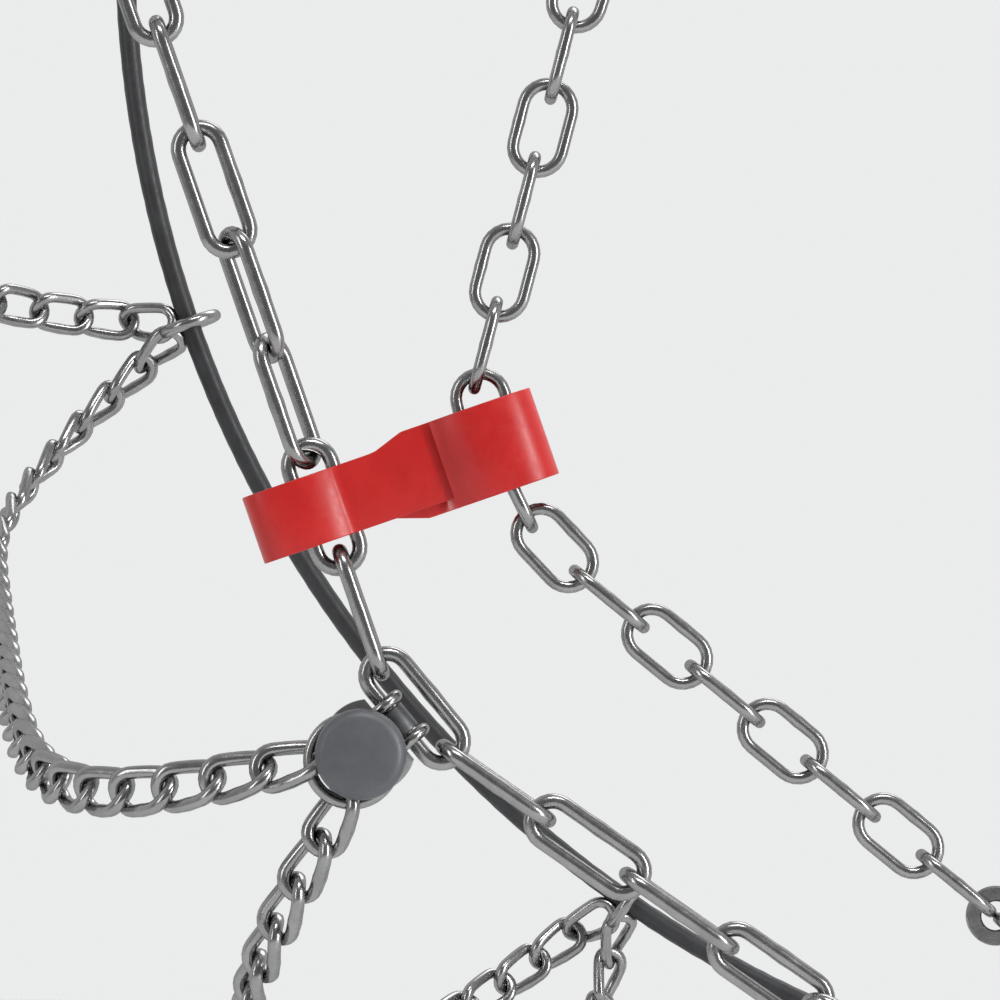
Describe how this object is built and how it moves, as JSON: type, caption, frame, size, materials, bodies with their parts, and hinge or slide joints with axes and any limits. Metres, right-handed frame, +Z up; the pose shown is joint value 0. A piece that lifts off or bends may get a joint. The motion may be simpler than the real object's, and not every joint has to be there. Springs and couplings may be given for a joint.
{
  "type": "tire snow chains",
  "caption": "Snow chain laid out as on the wheel: outer side chain, tensioning chain, red guide bands, disc connectors, tread net and inner cable.",
  "frame": {"origin": "centre of the wheel that wears the chain, on its axle, midway between the tyre sidewalls", "axes": "+Y along the axle towards the vehicle, -Y out of the wheel, +Z up"},
  "size_m": [0.6965, 0.2542, 0.6964],
  "materials": {
    "chain_steel": "satin zinc-plated case-hardened wire",
    "connector_cap_grey": "matte blue-grey coating",
    "guide_band_red": "semi-gloss moulded strap",
    "cable_sheath": "matte black sheath over steel cable"
  },
  "bodies": {
    "held_net": {"side_chain_far_run": "chain_steel", "side_chain_link_07": "chain_steel", "tension_short_run": "chain_steel", "tension_long_run": "chain_steel", "inner_cable": "cable_sheath", "tread_net_1": "chain_steel", "tread_net_2": "chain_steel", "tread_net_3": "chain_steel", "tread_net_4": "chain_steel", "tread_net_5": "chain_steel"},
    "red_band_1": {"red_band_1": "guide_band_red"},
    "red_band_2": {"red_band_2": "guide_band_red"},
    "red_band_3": {"red_band_3": "guide_band_red"},
    "connector_1": {"connector_1_cap": "connector_cap_grey", "connector_1_hook_plate": "chain_steel", "connector_1_rivet": "chain_steel"},
    "connector_1_ring": {"connector_1_strand_ring": "chain_steel"},
    "connector_2": {"connector_2": "connector_cap_grey"},
    "connector_3": {"connector_3": "connector_cap_grey"},
    "connector_4": {"connector_4": "connector_cap_grey"},
    "connector_5": {"connector_5": "connector_cap_grey"},
    "connector_6": {"connector_6": "connector_cap_grey"},
    "connector_7": {"connector_7": "connector_cap_grey"},
    "connector_8": {"connector_8": "connector_cap_grey"},
    "connector_9": {"connector_9": "connector_cap_grey"},
    "connector_10": {"connector_10": "connector_cap_grey"},
    "tension_washer": {"tension_washer": "chain_steel"},
    "inner_cable_coupler": {"inner_cable_coupler": "chain_steel"},
    "tension_end_hook": {"tension_end_hook": "chain_steel"},
    "side_chain_link_01": {"side_chain_link_01": "chain_steel"},
    "side_chain_link_02": {"side_chain_link_02": "chain_steel"},
    "side_chain_link_03": {"side_chain_link_03": "chain_steel"},
    "side_chain_link_04": {"side_chain_link_04": "chain_steel"},
    "side_chain_link_05": {"side_chain_link_05": "chain_steel"},
    "side_chain_link_06": {"side_chain_link_06": "chain_steel"},
    "side_chain_link_08": {"side_chain_link_08": "chain_steel"},
    "side_chain_link_09": {"side_chain_link_09": "chain_steel"},
    "side_chain_link_10": {"side_chain_link_10": "chain_steel"},
    "side_chain_link_11": {"side_chain_link_11": "chain_steel"},
    "tension_link_01": {"tension_link_01": "chain_steel"},
    "tension_link_02": {"tension_link_02": "chain_steel"},
    "tension_link_03": {"tension_link_03": "chain_steel"},
    "tension_link_04": {"tension_link_04": "chain_steel"},
    "tension_link_05": {"tension_link_05": "chain_steel"},
    "tension_link_06": {"tension_link_06": "chain_steel"},
    "tension_link_07": {"tension_link_07": "chain_steel"},
    "tension_link_08": {"tension_link_08": "chain_steel"},
    "tension_link_09": {"tension_link_09": "chain_steel"},
    "tension_link_10": {"tension_link_10": "chain_steel"},
    "tension_link_11": {"tension_link_11": "chain_steel"},
    "tension_link_12": {"tension_link_12": "chain_steel"},
    "tension_link_13": {"tension_link_13": "chain_steel"},
    "tension_link_14": {"tension_link_14": "chain_steel"},
    "tension_link_15": {"tension_link_15": "chain_steel"},
    "tread_link_upper_1": {"tread_link_upper_1": "chain_steel"},
    "tread_link_upper_2": {"tread_link_upper_2": "chain_steel"},
    "tread_link_upper_3": {"tread_link_upper_3": "chain_steel"},
    "tread_link_lower_1": {"tread_link_lower_1": "chain_steel"},
    "tread_link_lower_2": {"tread_link_lower_2": "chain_steel"},
    "tread_link_lower_3": {"tread_link_lower_3": "chain_steel"}
  },
  "joints": [
    {"name": "red_band_1_slide", "type": "slide", "parent": "held_net", "child": "red_band_1", "axis": [-0.3394, 0, 0.9406], "range_m": [-0.001, 0.001]},
    {"name": "red_band_2_slide", "type": "slide", "parent": "held_net", "child": "red_band_2", "axis": [0.7897, 0, 0.6135], "range_m": [-0.001, 0.001]},
    {"name": "red_band_3_slide", "type": "slide", "parent": "held_net", "child": "red_band_3", "axis": [0.3394, 0, -0.9406], "range_m": [-0.001, 0.001]},
    {"name": "connector_1_tilt", "type": "hinge", "parent": "held_net", "child": "connector_1", "pos_m": [-0.21479, -0.119, -0.18119], "axis": [0.6448, 0, -0.7644], "range_deg": [-0.3, 0.3]},
    {"name": "connector_1_ring_turn", "type": "hinge", "parent": "connector_1", "child": "connector_1_ring", "pos_m": [-0.22342, -0.1228, -0.18847], "axis": [0, -1, 0], "range_deg": [-30, 30]},
    {"name": "connector_2_tilt", "type": "hinge", "parent": "held_net", "child": "connector_2", "pos_m": [-0.08902, -0.119, -0.26653], "axis": [0.9485, 0, -0.3168], "range_deg": [-0.3, 0.3]},
    {"name": "connector_3_tilt", "type": "hinge", "parent": "held_net", "child": "connector_3", "pos_m": [0.10595, -0.119, -0.26026], "axis": [0.9262, 0, 0.377], "range_deg": [-0.3, 0.3]},
    {"name": "connector_4_tilt", "type": "hinge", "parent": "held_net", "child": "connector_4", "pos_m": [0.22597, -0.119, -0.16703], "axis": [0.5944, 0, 0.8042], "range_deg": [-0.3, 0.3]},
    {"name": "connector_5_tilt", "type": "hinge", "parent": "held_net", "child": "connector_5", "pos_m": [0.28026, -0.119, 0.02033], "axis": [-0.0724, 0, 0.9974], "range_deg": [-0.3, 0.3]},
    {"name": "connector_6_tilt", "type": "hinge", "parent": "held_net", "child": "connector_6", "pos_m": [0.22868, -0.119, 0.1633], "axis": [-0.5811, 0, 0.8138], "range_deg": [-0.3, 0.3]},
    {"name": "connector_7_tilt", "type": "hinge", "parent": "held_net", "child": "connector_7", "pos_m": [0.06727, -0.119, 0.27283], "axis": [-0.9709, 0, 0.2394], "range_deg": [-0.3, 0.3]},
    {"name": "connector_8_tilt", "type": "hinge", "parent": "held_net", "child": "connector_8", "pos_m": [-0.08464, -0.119, 0.26795], "axis": [-0.9536, 0, -0.3012], "range_deg": [-0.3, 0.3]},
    {"name": "connector_9_tilt", "type": "hinge", "parent": "held_net", "child": "connector_9", "pos_m": [-0.23869, -0.119, 0.14828], "axis": [-0.5277, 0, -0.8494], "range_deg": [-0.3, 0.3]},
    {"name": "connector_10_tilt", "type": "hinge", "parent": "held_net", "child": "connector_10", "pos_m": [-0.28099, -0.119, 0.00231], "axis": [-0.0082, 0, -1], "range_deg": [-0.3, 0.3]},
    {"name": "tension_washer_turn", "type": "hinge", "parent": "held_net", "child": "tension_washer", "pos_m": [-0.09915, -0.119, -0.21709], "axis": [0, -1, 0], "range_deg": [-180, 180]},
    {"name": "inner_cable_coupler_turn", "type": "hinge", "parent": "held_net", "child": "inner_cable_coupler", "pos_m": [0.00995, 0.117, 0.28483], "axis": [-0.9994, 0, 0.0349], "range_deg": [-180, 180]},
    {"name": "tension_end_hook_swing", "type": "hinge", "parent": "held_net", "child": "tension_end_hook", "pos_m": [0.06231, -0.119, -0.26566], "axis": [-0.9995, 0, -0.0321], "range_deg": [-5, 5]},
    {"name": "side_chain_link_01_roll", "type": "hinge", "parent": "held_net", "child": "side_chain_link_01", "pos_m": [-0.25864, -0.119, -0.05904], "axis": [0.3394, 0, -0.9406], "range_deg": [-3, 3]},
    {"name": "side_chain_link_02_roll", "type": "hinge", "parent": "held_net", "child": "side_chain_link_02", "pos_m": [-0.25134, -0.119, -0.07926], "axis": [0.3394, 0, -0.9406], "range_deg": [-3, 3]},
    {"name": "side_chain_link_03_roll", "type": "hinge", "parent": "held_net", "child": "side_chain_link_03", "pos_m": [-0.24404, -0.119, -0.09948], "axis": [0.3394, 0, -0.9406], "range_deg": [-3, 3]},
    {"name": "side_chain_link_04_roll", "type": "hinge", "parent": "held_net", "child": "side_chain_link_04", "pos_m": [-0.23675, -0.119, -0.1197], "axis": [0.3394, 0, -0.9406], "range_deg": [-3, 3]},
    {"name": "side_chain_link_05_roll", "type": "hinge", "parent": "held_net", "child": "side_chain_link_05", "pos_m": [-0.22945, -0.119, -0.13993], "axis": [0.3394, 0, -0.9406], "range_deg": [-3, 3]},
    {"name": "side_chain_link_06_roll", "type": "hinge", "parent": "held_net", "child": "side_chain_link_06", "pos_m": [-0.22215, -0.119, -0.16015], "axis": [0.3394, 0, -0.9406], "range_deg": [-3, 3]},
    {"name": "side_chain_link_08_roll", "type": "hinge", "parent": "held_net", "child": "side_chain_link_08", "pos_m": [-0.19575, -0.119, -0.19273], "axis": [0.8275, 0, -0.5615], "range_deg": [-3, 3]},
    {"name": "side_chain_link_09_roll", "type": "hinge", "parent": "held_net", "child": "side_chain_link_09", "pos_m": [-0.17795, -0.119, -0.2048], "axis": [0.8275, 0, -0.5615], "range_deg": [-3, 3]},
    {"name": "side_chain_link_10_roll", "type": "hinge", "parent": "held_net", "child": "side_chain_link_10", "pos_m": [-0.16016, -0.119, -0.21688], "axis": [0.8275, 0, -0.5615], "range_deg": [-3, 3]},
    {"name": "side_chain_link_11_roll", "type": "hinge", "parent": "held_net", "child": "side_chain_link_11", "pos_m": [-0.14237, -0.119, -0.22895], "axis": [0.8275, 0, -0.5615], "range_deg": [-3, 3]},
    {"name": "tension_link_01_roll", "type": "hinge", "parent": "held_net", "child": "tension_link_01", "pos_m": [-0.18487, -0.119, -0.05261], "axis": [0.2419, 0, 0.9703], "range_deg": [-10, 10]},
    {"name": "tension_link_02_roll", "type": "hinge", "parent": "held_net", "child": "tension_link_02", "pos_m": [-0.18836, -0.119, -0.06658], "axis": [0.2419, 0, 0.9703], "range_deg": [-10, 10]},
    {"name": "tension_link_03_roll", "type": "hinge", "parent": "held_net", "child": "tension_link_03", "pos_m": [-0.19184, -0.119, -0.08055], "axis": [0.2419, 0, 0.9703], "range_deg": [-10, 10]},
    {"name": "tension_link_04_roll", "type": "hinge", "parent": "held_net", "child": "tension_link_04", "pos_m": [-0.19532, -0.119, -0.09452], "axis": [0.2419, 0, 0.9703], "range_deg": [-10, 10]},
    {"name": "tension_link_05_roll", "type": "hinge", "parent": "held_net", "child": "tension_link_05", "pos_m": [-0.19881, -0.119, -0.1085], "axis": [0.2419, 0, 0.9703], "range_deg": [-10, 10]},
    {"name": "tension_link_06_roll", "type": "hinge", "parent": "held_net", "child": "tension_link_06", "pos_m": [-0.19856, -0.119, -0.1224], "axis": [0.2756, 0, -0.9613], "range_deg": [-10, 10]},
    {"name": "tension_link_07_roll", "type": "hinge", "parent": "held_net", "child": "tension_link_07", "pos_m": [-0.19331, -0.119, -0.13574], "axis": [0.454, 0, -0.891], "range_deg": [-10, 10]},
    {"name": "tension_link_08_roll", "type": "hinge", "parent": "held_net", "child": "tension_link_08", "pos_m": [-0.18504, -0.119, -0.14733], "axis": [0.6947, 0, -0.7193], "range_deg": [-10, 10]},
    {"name": "tension_link_09_roll", "type": "hinge", "parent": "held_net", "child": "tension_link_09", "pos_m": [-0.17441, -0.119, -0.15701], "axis": [0.7815, 0, -0.6239], "range_deg": [-10, 10]},
    {"name": "tension_link_10_roll", "type": "hinge", "parent": "held_net", "child": "tension_link_10", "pos_m": [-0.16316, -0.119, -0.16599], "axis": [0.7815, 0, -0.6239], "range_deg": [-10, 10]},
    {"name": "tension_link_11_roll", "type": "hinge", "parent": "held_net", "child": "tension_link_11", "pos_m": [-0.15191, -0.119, -0.17497], "axis": [0.7815, 0, -0.6239], "range_deg": [-10, 10]},
    {"name": "tension_link_12_roll", "type": "hinge", "parent": "held_net", "child": "tension_link_12", "pos_m": [-0.14065, -0.119, -0.18396], "axis": [0.7815, 0, -0.6239], "range_deg": [-10, 10]},
    {"name": "tension_link_13_roll", "type": "hinge", "parent": "held_net", "child": "tension_link_13", "pos_m": [-0.1294, -0.119, -0.19294], "axis": [0.7815, 0, -0.6239], "range_deg": [-10, 10]},
    {"name": "tension_link_14_roll", "type": "hinge", "parent": "held_net", "child": "tension_link_14", "pos_m": [-0.11814, -0.119, -0.20193], "axis": [0.7815, 0, -0.6239], "range_deg": [-10, 10]},
    {"name": "tension_link_15_roll", "type": "hinge", "parent": "held_net", "child": "tension_link_15", "pos_m": [-0.10689, -0.119, -0.21091], "axis": [0.7815, 0, -0.6239], "range_deg": [-10, 10]},
    {"name": "tread_link_upper_1_roll", "type": "hinge", "parent": "held_net", "child": "tread_link_upper_1", "pos_m": [-0.23537, -0.12129, -0.18947], "axis": [-0.9462, 0.2161, -0.2408], "range_deg": [-2, 2]},
    {"name": "tread_link_upper_2_roll", "type": "hinge", "parent": "held_net", "child": "tread_link_upper_2", "pos_m": [-0.24537, -0.11846, -0.19197], "axis": [-0.9226, 0.3124, -0.2265], "range_deg": [-2, 2]},
    {"name": "tread_link_upper_3_roll", "type": "hinge", "parent": "held_net", "child": "tread_link_upper_3", "pos_m": [-0.25502, -0.11445, -0.19412], "axis": [-0.8821, 0.4367, -0.1766], "range_deg": [-2, 2]},
    {"name": "tread_link_lower_1_roll", "type": "hinge", "parent": "held_net", "child": "tread_link_lower_1", "pos_m": [-0.22674, -0.12125, -0.19992], "axis": [-0.457, 0.2227, -0.8611], "range_deg": [-2, 2]},
    {"name": "tread_link_lower_2_roll", "type": "hinge", "parent": "held_net", "child": "tread_link_lower_2", "pos_m": [-0.23156, -0.11831, -0.20898], "axis": [-0.4447, 0.3266, -0.834], "range_deg": [-2, 2]},
    {"name": "tread_link_lower_3_roll", "type": "hinge", "parent": "held_net", "child": "tread_link_lower_3", "pos_m": [-0.23602, -0.1141, -0.21771], "axis": [-0.3888, 0.4606, -0.7979], "range_deg": [-2, 2]}
  ]
}
